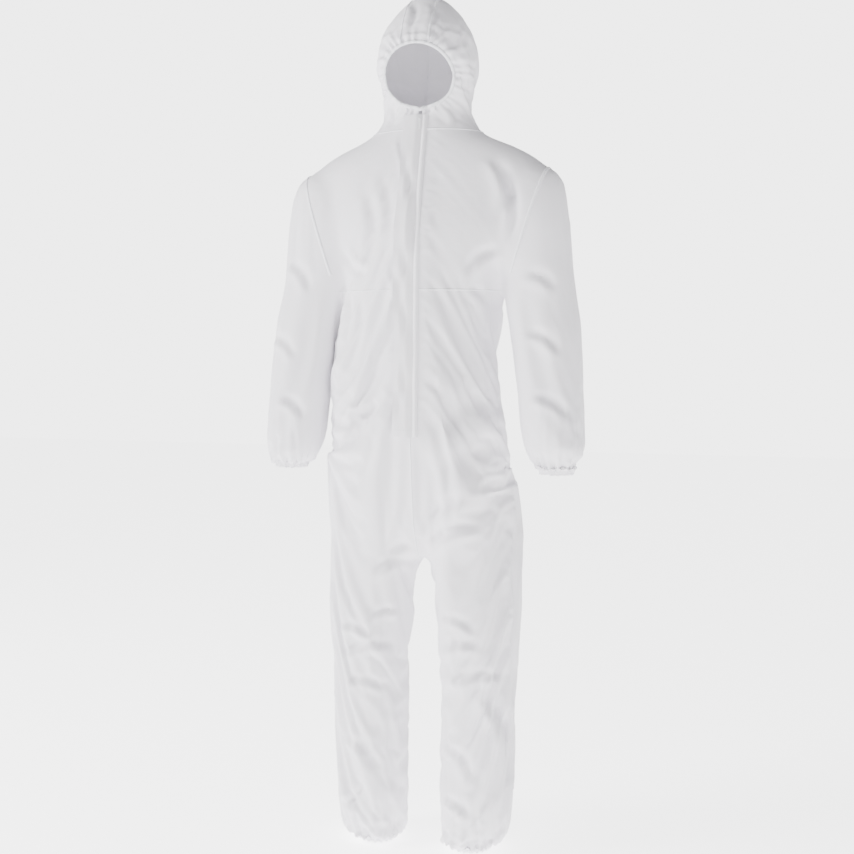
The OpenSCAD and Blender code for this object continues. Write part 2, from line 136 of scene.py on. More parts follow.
def loft(table, side=1, shift=0.0, rings=90, spokes=72):
    """A closed lofted solid, as vertices and faces."""
    z = np.linspace(table[0][0], table[-1][0], rings) * MM
    cx, front, back, wide, square = (curve(table, z, k)[:, None] for k in range(1, 6))
    a = np.linspace(0, 2 * math.pi, spokes, endpoint=False)[None]
    c, s = np.cos(a), np.sin(a)
    x = (cx + wide * np.sign(c) * abs(c) ** (2 / square)) * MM + shift
    y = ((front + back) / 2 + (back - front) / 2 * np.sign(s) * abs(s) ** (2 / square)) * MM
    points = np.stack([side * x, y, np.broadcast_to(z[:, None], x.shape)], 2).reshape(-1, 3)
    faces = [
        (i * spokes + j, (i + 1) * spokes + j, (i + 1) * spokes + (j + 1) % spokes, i * spokes + (j + 1) % spokes)
        for i in range(rings - 1)
        for j in range(spokes)
    ]
    faces += [tuple(range(spokes)), tuple(range((rings - 1) * spokes, rings * spokes))[::-1]]
    if side < 0:
        faces = [f[::-1] for f in faces]
    return points, faces


def new_object(name, points, faces):
    mesh = bpy.data.meshes.new(name)
    mesh.from_pydata([tuple(p) for p in points], [], faces)
    mesh.validate()
    made = bpy.data.objects.new(name, mesh)
    bpy.context.scene.collection.objects.link(made)
    return made


def joined(name, parts):
    points, faces, count = [], [], 0
    for p, f in parts:
        points.append(p)
        faces += [tuple(i + count for i in face) for face in f]
        count += len(p)
    return new_object(name, np.concatenate(points), faces)


def applied(obj):
    """The object with its modifiers applied to its mesh."""
    got = bpy.data.meshes.new_from_object(obj.evaluated_get(bpy.context.evaluated_depsgraph_get()))
    obj.modifiers.clear()
    old, obj.data = obj.data, got
    bpy.data.meshes.remove(old)
    return obj


def coords(mesh):
    flat = np.empty(len(mesh.vertices) * 3)
    mesh.vertices.foreach_get("co", flat)
    return flat.reshape(-1, 3)


def set_coords(mesh, points):
    mesh.vertices.foreach_set("co", np.ascontiguousarray(points, float).ravel())
    mesh.update()


def splay(z):
    """How far a sleeve stands out at each height while the volume is made."""
    return SPLAY * smoothstep(-0.295, -0.38, z)


def garment_volume(voxel):
    """One closed skin round the hood, trunk, sleeves and legs, with its sleeves marked."""
    parts = [loft(HOOD), loft(BODY)]
    for side, shift in ((1, 0.0), (-1, RIGHT_ARM_SET)):
        arm, faces = loft(SLEEVE, side, shift)
        arm[:, 0] += side * splay(arm[:, 2])
        parts += [(arm, faces), loft(LEG, side)]
    body = joined("garment", parts)
    remesh = body.modifiers.new("union", "REMESH")
    remesh.mode = "VOXEL"
    remesh.voxel_size = voxel
    applied(body)
    relax = body.modifiers.new("relax", "SMOOTH")
    relax.factor = 0.5
    relax.iterations = 6
    applied(body)
    p = coords(body.data)
    z = p[:, 2]
    centre = curve(BODY, z, 1) * MM
    half = curve(BODY, z, 4) * MM
    arm = (abs(p[:, 0] - centre) > half + 0.010) & (z < -0.295) & (z > -0.75)
    side = np.sign(p[:, 0])
    p[:, 0] -= side * splay(z) * arm
    set_coords(body.data, p)
    body.data.attributes.new("sleeve", "FLOAT", "POINT").data.foreach_set("value", arm.astype(np.float32))
    return body


# ---------------------------------------------------------------- drape


def smoothstep(a, b, x):
    t = np.clip((x - a) / (b - a), 0, 1)
    return t * t * (3 - 2 * t)


def group_of(obj, name, weights):
    """A vertex group with one weight to a vertex."""
    group = obj.vertex_groups.new(name=name)
    for k in np.flatnonzero(weights > 0.01):
        group.add([int(k)], float(weights[k]), "REPLACE")
    return group


def normals_of(mesh):
    flat = np.empty(len(mesh.vertices) * 3)
    mesh.vertices.foreach_get("normal", flat)
    return flat.reshape(-1, 3)


def face_distance(p):
    """1 on the rim of the face opening, less inside it; large behind the head."""
    r = np.hypot((p[:, 0] - FACE[0]) / FACE_HALF[0], (p[:, 2] - FACE[2]) / FACE_HALF[1])
    return np.where(p[:, 1] < 0, r, 9.0)


def wearer(cloth, inset):
    """The form inside that carries the suit: the same shape, thinner, most of all below the shoulders."""
    form = new_object("form", coords(cloth.data), [tuple(f.vertices) for f in cloth.data.polygons])
    p, n = coords(form.data), normals_of(form.data)
    thin = inset * (0.35 + 0.65 * smoothstep(-0.02, -0.25, p[:, 2]))
    thin = np.where(p[:, 2] > NECKLINE, inset * 0.5, thin)
    set_coords(form.data, p - n * thin[:, None])
    form.modifiers.new("collision", "COLLISION")
    form.collision.thickness_outer = 0.004
    form.collision.cloth_friction = 6
    return form


def drape(cloth):
    """Hangs the cloth on the wearer's form: slack fabric under a little gravity, held at its elastics and its zip."""
    rest = coords(cloth.data).copy()
    z = rest[:, 2]
    cuffs = smoothstep(WRIST + 0.012, WRIST, z) * (abs(rest[:, 0]) > 0.2)
    ankles = smoothstep(ANKLE + 0.014, ANKLE, z)
    face = 1 - smoothstep(0.95, 1.1, face_distance(rest))
    neck = 0.3 * np.exp(-((z - 0.055) / 0.02) ** 2)
    zipped = 0.85 * smoothstep(0.05, 0.025, abs(rest[:, 0])) * (rest[:, 1] < 0) * (z > FLAP_END) * (z < FLAP_TOP)
    group_of(cloth, "held", np.clip(cuffs + ankles + face + neck + zipped, 0, 1))
    form = wearer(cloth, 0.022)
    cloth.modifiers.new("drape", "CLOTH")
    settings = cloth.modifiers["drape"].settings
    settings.quality = 5
    settings.mass = 0.12
    settings.tension_stiffness = settings.compression_stiffness = 12
    settings.shear_stiffness = 6
    settings.bending_stiffness = 0.1
    settings.air_damping = 3
    settings.shrink_min = settings.shrink_max = -0.05
    settings.vertex_group_mass = "held"
    settings.use_pressure = True
    settings.uniform_pressure_force = 0.35
    settings.effector_weights.gravity = 0.7
    cloth.modifiers["drape"].collision_settings.distance_min = 0.003
    cloth.modifiers["drape"].collision_settings.use_self_collision = False
    cache = cloth.modifiers["drape"].point_cache
    cache.frame_start, cache.frame_end = 1, DRAPE_FRAMES
    scene = bpy.context.scene
    for frame_number in range(1, DRAPE_FRAMES + 1):
        scene.frame_set(frame_number)
    applied(cloth)
    scene.frame_set(1)
    bpy.data.objects.remove(form)
    moved = coords(cloth.data) - rest
    far = np.linalg.norm(moved, axis=1, keepdims=True)
    limit = DRAPE_LIMIT * (0.35 + 0.65 * smoothstep(-0.10, -0.3, z))
    smooth_chest = smoothstep(0.0, 0.04, rest[:, 0]) * (rest[:, 1] < 0) * smoothstep(-0.36, -0.28, z) * (z < 0)
    limit = (limit * (1 - 0.75 * smooth_chest))[:, None]
    set_coords(cloth.data, rest + moved * np.minimum(1, limit / np.maximum(far, 1e-9)))
    cloth.vertex_groups.clear()
    return cloth


# Creases that the weight of the cloth makes where the body bends or the seams pull. Each is a valley with a
# ridge beside it: from (x, z) to (x, z), then width and depth, all in metres; negative depth is a ridge.
FRONT_CREASES = [
    (-0.039, -0.030, -0.042, -0.380, 0.006, 0.0050), (-0.042, -0.300, -0.040, -0.620, 0.006, 0.0035),
    (-0.070, -0.100, -0.080, -0.300, 0.013, 0.0030), (-0.105, -0.130, -0.110, -0.300, 0.014, 0.0030),
    (-0.150, -0.340, -0.185, -0.480, 0.012, 0.006), (-0.120, -0.350, -0.165, -0.520, 0.013, 0.005),
    (-0.080, -0.575, -0.185, -0.620, 0.012, 0.006), (-0.105, -0.610, -0.180, -0.660, 0.010, 0.005),
    (-0.060, -0.560, -0.150, -0.595, 0.009, 0.004), (0.110, -0.300, 0.165, -0.250, 0.010, 0.005),
    (-0.110, -0.300, -0.165, -0.255, 0.010, 0.005), (0.120, -0.330, 0.150, -0.372, 0.009, 0.004),
    (0.165, -0.070, 0.190, -0.170, 0.012, 0.007), (0.185, -0.110, 0.196, -0.230, 0.010, 0.005),
    (0.035, -0.865, 0.140, -0.820, 0.012, 0.007), (0.020, -0.850, 0.100, -0.760, 0.013, 0.005),
    (-0.060, -0.900, -0.015, -0.870, 0.010, 0.006), (-0.090, -0.930, -0.030, -0.905, 0.011, 0.005),
    (0.040, -0.640, 0.190, -0.560, 0.030, 0.006), (0.060, -0.720, 0.190, -0.660, 0.026, 0.004),
    (-0.170, -1.050, -0.090, -1.075, 0.009, 0.004), (-0.160, -1.110, -0.060, -1.090, 0.010, 0.005),
    (-0.150, -1.170, -0.070, -1.185, 0.009, 0.004), (-0.100, -1.030, -0.045, -1.015, 0.008, 0.004),
    (0.060, -1.020, 0.130, -1.045, 0.009, 0.004), (0.050, -1.090, 0.140, -1.075, 0.010, 0.005),
    (0.080, -1.160, 0.180, -1.140, 0.010, 0.004), (0.160, -1.190, 0.185, -1.400, 0.012, 0.008),
    (-0.040, -1.240, -0.030, -1.370, 0.012, 0.008), (-0.050, -1.400, -0.035, -1.480, 0.012, 0.006),
    (-0.150, -1.300, -0.090, -1.360, 0.012, 0.005), (-0.120, -1.400, -0.170, -1.460, 0.010, 0.005),
    (0.070, -1.300, 0.130, -1.370, 0.012, 0.005), (0.060, -1.420, 0.120, -1.450, 0.010, 0.005),
    (-0.300, -0.560, -0.250, -0.600, 0.010, 0.005), (-0.330, -0.430, -0.270, -0.470, 0.010, 0.004),
    (0.240, -0.420, 0.300, -0.460, 0.010, 0.005), (0.250, -0.550, 0.320, -0.590, 0.010, 0.005),
    (0.230, -0.300, 0.290, -0.330, 0.011, 0.004), (-0.290, -0.270, -0.240, -0.330, 0.011, 0.004),
    (-0.016, 0.262, -0.012, 0.200, 0.008, 0.004), (0.030, 0.255, 0.034, 0.205, 0.008, 0.004),
    (0.010, 0.055, 0.014, 0.035, 0.007, 0.004), (-0.060, 0.050, -0.075, 0.010, 0.008, 0.003),
    (0.060, 0.050, 0.075, 0.010, 0.008, 0.003),
]
BACK_CREASES = [
    (-0.150, -0.330, -0.080, -0.430, 0.014, 0.006), (0.150, -0.340, 0.070, -0.440, 0.014, 0.006),
    (-0.160, -0.520, 0.000, -0.600, 0.016, 0.005), (0.160, -0.500, 0.020, -0.640, 0.016, 0.005),
    (-0.110, -0.900, -0.030, -0.850, 0.014, 0.007), (0.110, -0.900, 0.030, -0.850, 0.014, 0.007),
    (-0.160, -1.100, -0.070, -1.120, 0.011, 0.006), (0.160, -1.090, 0.070, -1.130, 0.011, 0.006),
    (-0.150, -1.170, -0.080, -1.150, 0.011, 0.005), (0.150, -1.180, 0.080, -1.160, 0.011, 0.005),
    (-0.150, -1.420, -0.080, -1.450, 0.011, 0.006), (0.150, -1.400, 0.080, -1.440, 0.011, 0.006),
    (0.240, -0.430, 0.300, -0.450, 0.011, 0.005), (-0.310, -0.430, -0.240, -0.450, 0.011, 0.005),
    (-0.060, 0.050, 0.060, 0.046, 0.010, 0.004), (-0.200, -0.070, -0.120, -0.030, 0.014, 0.004),
    (0.200, -0.070, 0.120, -0.030, 0.014, 0.004),
]


def crease(p, a, b, width, depth):
    """Height of one crease at each point: a valley along a to b with a soft ridge beside it."""
    a, b = np.array(a), np.array(b)
    run = b - a
    length = np.linalg.norm(run)
    along = ((p - a) @ run) / length**2
    bow = 0.12 * length * np.sin(np.clip(along, 0, 1) * math.pi)
    across = (p - a) @ np.array([run[1], -run[0]]) / length + bow
    ends = smoothstep(-0.15, 0.3, along) * smoothstep(1.15, 0.7, along)
    valley = np.exp(-((across / width) ** 2))
    ridge = 0.6 * np.exp(-(((across - 1.7 * width) / (1.1 * width)) ** 2))
    return 1.5 * depth * ends * (ridge - valley)


def creased(cloth):
    p, n = coords(cloth.data), normals_of(cloth.data)
    rise = np.zeros(len(p))
    for creases, face in ((FRONT_CREASES, p[:, 1] < 0), (BACK_CREASES, p[:, 1] >= 0)):
        facing = face * np.clip(abs(n[:, 1]) * 1.6, 0, 1)
        for x0, z0, x1, z1, width, depth in creases:
            rise += facing * crease(p[:, [0, 2]], (x0, z0), (x1, z1), width, depth)
    set_coords(cloth.data, p + n * rise[:, None])
    return cloth


def gathers(cloth):
    """Small pleats that run into each elastic: round the face, the wrists and the ankles."""
    p, n = coords(cloth.data), normals_of(cloth.data)
    x, y, z = p.T
    r = face_distance(p)
    round_face = np.arctan2((z - FACE[2]) / FACE_HALF[1], (x - FACE[0]) / FACE_HALF[0])
    reach = np.exp(-np.clip(r - 1, 0, None) / 0.30) * (r < 3) * smoothstep(0.94, 1.04, r)
    wander = np.array([noise.noise(Vector((3 * math.cos(a), 3 * math.sin(a), 1.7))) for a in round_face])
    side = 0.7 + 0.3 * np.cos(round_face - 2.2)
    rise = 0.0034 * side * reach * np.sin(34 * round_face + 5 * wander) * (1 + 0.8 * wander)
    for on, top, centre, count, deep in (
        (abs(x) > 0.2, WRIST, 0.292, 17, 0.0034),
        (z < ANKLE + 0.2, ANKLE, 0.107, 21, 0.0042),
    ):
        mid_y = -0.046 if centre > 0.2 else -0.024
        turn = np.arctan2(y - mid_y, abs(x) - centre)
        drift = np.array([noise.noise(Vector((2 * math.cos(a), 2 * math.sin(a), 9 * b))) for a, b in zip(turn, z)])
        near = on * np.exp(-np.clip(z - top, 0, None) / 0.045) * (z < top + 0.16)
        rise = rise + deep * near * np.sin(count * turn + 4 * drift)
    waist = np.exp(-(((z - WAIST) / 0.035) ** 2)) * smoothstep(0.03, 0.07, y) * (abs(x) < 0.19)
    sway = np.array([noise.noise(Vector((30 * a, 12 * b, 4.2))) for a, b in zip(x, z)])
    rise = rise + waist * (0.0030 * np.sin(2 * math.pi * x / 0.017 + 2.5 * sway) * (1 + sway) - 0.003)
    set_coords(cloth.data, p + n * rise[:, None])
    return cloth


# ---------------------------------------------------------------- cutting the cloth into its panels
CUT_ARM = -0.363
ARMPIT = -0.300
CUT_HIP = -0.765
CUT_LEG = -0.985
ARMHOLE = (Vector((0.262, 0, -0.090)), Vector((0.954, 0, -0.300)))  # a point of its plane, and the normal
SLIT = 0.0042
SLIT_END = -0.632
CROWN_STRIP = 0.030  # half its width
HEM = 0.0125  # from the top of a wrist or ankle elastic to the cloth's end
SIDE_SEAM_Y = 0.004


def sliced(bm, point, normal, wanted):
    """Cuts the wanted faces along a plane, so that panels can part there."""
    faces = [f for f in bm.faces if wanted(f.calc_center_median())]
    parts = set(faces)
    for f in faces:
        parts.update(f.edges)
        parts.update(f.verts)
    bmesh.ops.bisect_plane(bm, geom=list(parts), plane_co=point, plane_no=normal, dist=2e-4)


def with_face_opening(bm):
    """Finer cloth round the face, then the hole, with its edge brought onto the rim."""

    def far(v):
        return math.hypot((v.x - FACE[0]) / FACE_HALF[0], (v.z - FACE[2]) / FACE_HALF[1]) if v.y < 0 else 9

    near = [e for e in bm.edges if all(0.8 < far(v.co) < 1.75 for v in e.verts)]
    bmesh.ops.subdivide_edges(bm, edges=near, cuts=1, use_grid_fill=True, smooth=0.6)
    bmesh.ops.delete(bm, geom=[f for f in bm.faces if far(f.calc_center_median()) < 1], context="FACES")
    for v in [v for v in bm.verts if v.is_boundary and far(v.co) < 1.2]:
        r = far(v.co)
        v.co.x = FACE[0] + (v.co.x - FACE[0]) / r
        v.co.z = FACE[2] + (v.co.z - FACE[2]) / r


def cut_up(cloth):
    """Cuts along every seam and joint line, opens the face, wrists, ankles and zip."""
    bm = bmesh.new()
    bm.from_mesh(cloth.data)
    x, y, z = Vector((1, 0, 0)), Vector((0, 1, 0)), Vector((0, 0, 1))
    for height in (WRIST - HEM, ANKLE - HEM):
        sliced(bm, z * height, z, lambda c, h=height: abs(c.z - h) < 0.02 and (h < -1 or abs(c.x) > 0.2))
    bmesh.ops.delete(
        bm,
        geom=[
            f for f in bm.faces
            if f.calc_center_median().z < ANKLE - HEM
            or (abs(f.calc_center_median().x) > 0.225 and -0.75 < f.calc_center_median().z < WRIST - HEM)
        ],
        context="FACES",
    )
    sliced(bm, z * NECKLINE, z, lambda c: abs(c.z) < 0.02)
    sliced(bm, z * NECK_TOP, z, lambda c: abs(c.z - NECK_TOP) < 0.02)
    sliced(bm, z * CHEST_SEAM, z, lambda c: abs(c.z - CHEST_SEAM) < 0.02)
    sliced(bm, z * CUT_ARM, z, lambda c: abs(c.z - CUT_ARM) < 0.02)
    sliced(bm, z * ARMPIT, z, lambda c: abs(c.z - ARMPIT) < 0.02 and abs(c.x) > 0.12)
    sliced(bm, z * CUT_HIP, z, lambda c: abs(c.z - CUT_HIP) < 0.02)
    sliced(bm, z * CUT_LEG, z, lambda c: abs(c.z - CUT_LEG) < 0.02)
    for side in (1, -1):
        at = Vector((side * ARMHOLE[0].x, 0, ARMHOLE[0].z))
        normal = Vector((side * ARMHOLE[1].x, 0, ARMHOLE[1].z))
        sliced(bm, at, normal, lambda c, s=side: c.x * s > 0.15 and -0.335 < c.z < -0.02)
        sliced(bm, x * side * CROWN_STRIP, x, lambda c, s=side: c.z > 0.03 and abs(c.x - s * CROWN_STRIP) < 0.02)
        sliced(bm, x * side * SLIT, x, lambda c, s=side: FLAP_END < c.z < 0.06 and c.y < 0 and abs(c.x) < 0.02)
    sliced(bm, x * 0, x, lambda c: abs(c.x) < 0.02 and c.z < 0.06)
    sliced(bm, y * SIDE_SEAM_Y, y, lambda c: abs(c.y - SIDE_SEAM_Y) < 0.02 and -0.80 < c.z < 0 and abs(c.x) < 0.235)
    with_face_opening(bm)
    slit = [
        f for f in bm.faces
        if abs(f.calc_center_median().x) < SLIT and f.calc_center_median().y < 0
        and SLIT_END < f.calc_center_median().z < 0.045
    ]
    bmesh.ops.delete(bm, geom=slit, context="FACES")
    bm.to_mesh(cloth.data)
    bm.free()
    return cloth


def panel_masks(centre, sleeve):
    """Which faces make each named piece of cloth."""
    x, y, z = centre.T
    left, right = x > 0, x <= 0
    front, back = y < 0.004, y >= 0.004
    beyond = (abs(x) - ARMHOLE[0].x) * ARMHOLE[1].x + (z - ARMHOLE[0].z) * ARMHOLE[1].z > 0
    arm = ((sleeve > 0.5) & (z < ARMPIT)) | (beyond & (z >= ARMPIT) & (z < -0.02))
    trunk = ~arm
    hood = z > NECK_TOP
    neck = ~hood & (z > NECKLINE)
    masks = {"hood_crown": hood & (abs(x) < 0.030)}
    for name, side in (("left", left), ("right", right)):
        masks["hood_side_" + name] = hood & (abs(x) >= 0.030) & side
        masks["collar_" + name] = neck & side
        masks["chest_panel_" + name] = trunk & side & front & (z <= NECKLINE) & (z > CHEST_SEAM)
        masks["front_panel_" + name] = trunk & side & front & (z <= CHEST_SEAM) & (z > CUT_HIP)
        masks["back_panel_" + name] = trunk & side & back & (z <= CHEST_SEAM) & (z > CUT_HIP)
        masks["hip_panel_" + name] = trunk & side & (z <= CUT_HIP) & (z > CUT_LEG)
        masks["lower_leg_" + name] = trunk & side & (z <= CUT_LEG)
        masks["sleeve_" + name] = arm & side & (z > CUT_ARM)
        masks["lower_sleeve_" + name] = arm & side & (z <= CUT_ARM)
    masks["yoke_panel"] = trunk & back & (z <= NECKLINE) & (z > CHEST_SEAM)
    return masks


def shell(name, points, normals, faces, thick):
    """A sheet of cloth with its real edge: outer side, inner side and a rim between them."""
    used, back = np.unique(np.concatenate([np.asarray(f) for f in faces]), return_inverse=True)
    count = len(used)
    outer, k = [], 0
    for f in faces:
        outer.append(tuple(int(v) for v in back[k:k + len(f)]))
        k += len(f)
    inner = [tuple(v + count for v in f[::-1]) for f in outer]
    edges = {}
    for f in outer:
        for a, b in zip(f, f[1:] + f[:1]):
            edges[(a, b)] = edges.get((a, b), 0) + 1
    rim = [(b, a, a + count, b + count) for (a, b) in edges if (b, a) not in edges]
    body = np.concatenate([points[used], points[used] - normals[used] * thick])
    made = new_object(name, body, outer + inner + rim)
    made.data.polygons.foreach_set("use_smooth", [True] * len(made.data.polygons))
    made.data.set_sharp_from_angle(angle=math.radians(50))
    return made


def panels(cloth, thick):
    mesh = cloth.data
    points, normals = coords(mesh), normals_of(mesh)
    sleeve = np.empty(len(mesh.vertices), np.float32)
    mesh.attributes["sleeve"].data.foreach_get("value", sleeve)
    faces = [tuple(f.vertices) for f in mesh.polygons]
    centre = np.array([points[list(f)].mean(0) for f in faces])
    on_sleeve = np.array([sleeve[list(f)].mean() for f in faces])
    made = {}
    for name, mask in panel_masks(centre, on_sleeve).items():
        made[name] = shell(name, points, normals, [faces[k] for k in np.flatnonzero(mask)], thick)
    return made


# ---------------------------------------------------------------- trims that are built on the cloth


def swept(name, paths, wide, high_, normal_of, sides=8, rise=0.0):
    """A small rounded bead along each path, lying on the cloth."""
    points, faces = [], []
    for path, closed in paths:
        count, base = len(path), len(points)
        if count < 3:
            continue
        for i, p in enumerate(path):
            before = path[(i - 1) % count] if closed or i else path[0]
            after = path[(i + 1) % count] if closed or i < count - 1 else path[-1]
            along = (Vector(after) - Vector(before)).normalized()
            up = normal_of(Vector(p))
            across = along.cross(up).normalized()
            up = across.cross(along)
            for j in range(sides):
                a = 2 * math.pi * j / sides
                points.append(Vector(p) + across * (wide / 2 * math.cos(a)) + up * (high_ / 2 * math.sin(a) + rise))
        for i in range(count if closed else count - 1):
            k = (i + 1) % count
            faces += [
                (base + i * sides + j, base + i * sides + (j + 1) % sides,
                 base + k * sides + (j + 1) % sides, base + k * sides + j)
                for j in range(sides)
            ]
        if not closed:
            faces.append(tuple(base + j for j in range(sides))[::-1])
            faces.append(tuple(base + (count - 1) * sides + j for j in range(sides)))
    made = new_object(name, points, faces)
    made.data.polygons.foreach_set("use_smooth", [True] * len(made.data.polygons))
    made.data.validate()
    fixed = bmesh.new()
    fixed.from_mesh(made.data)
    bmesh.ops.recalc_face_normals(fixed, faces=fixed.faces)
    fixed.to_mesh(made.data)
    fixed.free()
    return made


def edge_paths(obj, wanted):
    """The outer edge of a panel where wanted(point) holds, as smoothed runs of points."""
    mesh = obj.data
    half = len(mesh.vertices) // 2
    links = {}
    for polygon in mesh.polygons:
        v = list(polygon.vertices)
        if len(v) == 4 and sum(k >= half for k in v) == 2 and v[2] >= half and v[3] >= half and v[1] < half:
            a, b = v[0], v[1]
            if wanted(mesh.vertices[a].co) and wanted(mesh.vertices[b].co):
                links.setdefault(a, set()).add(b)
                links.setdefault(b, set()).add(a)
    runs, seen = [], set()
    ends = [v for v in links if len(links[v]) == 1] + list(links)
    for start in ends:
        if start in seen:
            continue
        run, at = [start], start
        seen.add(start)
        while True:
            step = [v for v in links[at] if v not in seen]
            if not step:
                break
            at = step[0]
            seen.add(at)
            run.append(at)
        closed = len(run) > 3 and start in links[run[-1]]
        path = np.array([mesh.vertices[v].co for v in run])
        if len(path) > 6:
            for _ in range(2):
                inner = (np.roll(path, 1, 0) + path * 2 + np.roll(path, -1, 0)) / 4
                if not closed:
                    inner[0], inner[-1] = path[0], path[-1]
                path = inner
            runs.append((path, closed))
    return runs


def nearest_normal(tree):
    def normal_of(p):
        found = tree.find_nearest(p)
        return found[1] if found[1] is not None else Vector((0, -1, 0))

    return normal_of


def front_surface(tree):
    """The front of the cloth at (x, z)."""

    def at(x, z):
        hit = tree.ray_cast(Vector((x, -0.6, z)), Vector((0, 1, 0)))
        return hit[0].y if hit[0] is not None else None

    return at


def smooth_front(at, x, heights):
    """The front profile at x, smoothed down its length so that a strip laid on it runs fair."""
    ys = np.array([at(x, z) or np.nan for z in heights], float)
    good = ~np.isnan(ys)
    ys = np.interp(heights[::-1], heights[good][::-1], ys[good][::-1])[::-1]
    for _ in range(6):
        ys[1:-1] = (ys[:-2] + 2 * ys[1:-1] + ys[2:]) / 4
    return ys


SEW_X = 0.0165
HINGE_X = 0.0055
FREE_X = -0.0335


def flap_rows(at):
    """Storm flap, as rows of points from the sewn edge to the free edge."""
    heights = np.linspace(FLAP_TOP - 0.002, FLAP_END + 0.002, 150)
    across = np.concatenate([np.linspace(SEW_X, HINGE_X, 8), np.linspace(HINGE_X, FREE_X, 16)[1:]])
    base = np.array([smooth_front(at, x, heights) for x in (SEW_X, 0.006, -0.010, -0.022, FREE_X - 0.004)])
    grid = []
    for i, z in enumerate(heights):
        row = []
        down = (FLAP_TOP - z) / (FLAP_TOP - FLAP_END)
        sway = 0.0016 * math.sin(11 * down) + 0.001 * math.sin(29 * down + 1)
        for j, x in enumerate(across):
            y = np.interp(-x, [-SEW_X, -0.006, 0.010, 0.022, -FREE_X + 0.004], base[:, i])
            out = (HINGE_X - x) / (HINGE_X - FREE_X)
            if out <= 0:
                lift = 0.0012 + 0.0030 * math.sin(math.pi * min(1, -out / ((SEW_X - HINGE_X) / (HINGE_X - FREE_X))))
            else:
                wave = 0.5 + 0.5 * math.sin(17 * down + 0.6) * math.cos(5 * down)
                open_ = 0.35 + 0.65 * math.exp(-(((down - 0.42) / 0.20) ** 2))
                lift = 0.0028 + 0.0045 * smoothstep(0, 0.35, out) + (0.0065 * open_ + 0.0016 * wave) * out**2
            row.append((x + sway * max(out, 0), y - lift, z))
        grid.append(row)
    return np.array(grid)


def sheet_from_grid(name, grid, thick):
    rows, cols = grid.shape[:2]
    points = grid.reshape(-1, 3)
    faces = [
        (i * cols + j, (i + 1) * cols + j, (i + 1) * cols + j + 1, i * cols + j + 1)
        for i in range(rows - 1) for j in range(cols - 1)
    ]
    down = np.gradient(grid, axis=0).reshape(-1, 3)
    over = np.gradient(grid, axis=1).reshape(-1, 3)
    normal = np.cross(over, down)
    normal /= np.linalg.norm(normal, axis=1, keepdims=True)
    if normal[:, 1].mean() > 0:
        normal = -normal
    if np.mean([np.cross(points[f[1]] - points[f[0]], points[f[2]] - points[f[0]])[1] for f in faces[::37]]) > 0:
        faces = [f[::-1] for f in faces]
    return shell(name, points, normal, faces, thick)


def stitch_row(name, path, normal_of, pitch=0.0034, long_=0.0023, thick=0.0006, rise=0.0002):
    """A row of thread stitches along a path."""
    path = np.array(path)
    run = np.concatenate([[0], np.cumsum(np.linalg.norm(np.diff(path, axis=0), axis=1))])
    stitches = []
    for at in np.arange(pitch, run[-1] - pitch, pitch):
        ends = [at - long_ / 2, at, at + long_ / 2]
        bit = [[np.interp(e, run, path[:, k]) for k in range(3)] for e in ends]
        stitches.append((np.array(bit), False))
    return swept(name, stitches, thick, thick, normal_of, sides=5, rise=rise)


def face_rim(obj_points):
    """The elastic casing round the face: a soft rolled edge that ripples with the gathers."""
    path = []
    order = np.argsort([math.atan2(p[2] - FACE[2], p[0] - FACE[0]) for p in obj_points])
    ring = np.array(obj_points)[order]
    angle = np.array([math.atan2(p[2] - FACE[2], p[0] - FACE[0]) for p in ring])
    count = 240
    for i in range(count):
        a = -math.pi + 2 * math.pi * i / count
        point = [np.interp(a, angle, ring[:, k], period=2 * math.pi) for k in range(3)]
        path.append(point)
    path = np.array(path)
    for _ in range(5):
        path = (np.roll(path, 1, 0) + 2 * path + np.roll(path, -1, 0)) / 4
    return path


# ---------------------------------------------------------------- materials


class Nodes:
    """Short hand for building one material's nodes."""

    def __init__(self, name, base, rough, spec=0.35):
        self.mat = bpy.data.materials.new(name)
        self.mat.use_nodes = True
        self.tree = self.mat.node_tree
        self.shader = self.tree.nodes["Principled BSDF"]
        self.set(self.shader, "Base Color", (*base, 1))
        self.set(self.shader, "Roughness", rough)
        self.set(self.shader, "Specular IOR Level", spec)

    def set(self, node, key, value):
        node.inputs[key].default_value = value

    def new(self, kind, **inputs):
        node = self.tree.nodes.new(kind)
        for key, value in inputs.items():
            self.set(node, key.replace("_", " "), value)
        return node

    def link(self, a, out, b, into):
        self.tree.links.new(a.outputs[out], b.inputs[into])


def place(m):
    return m.tree.nodes.new("ShaderNodeTexCoord")


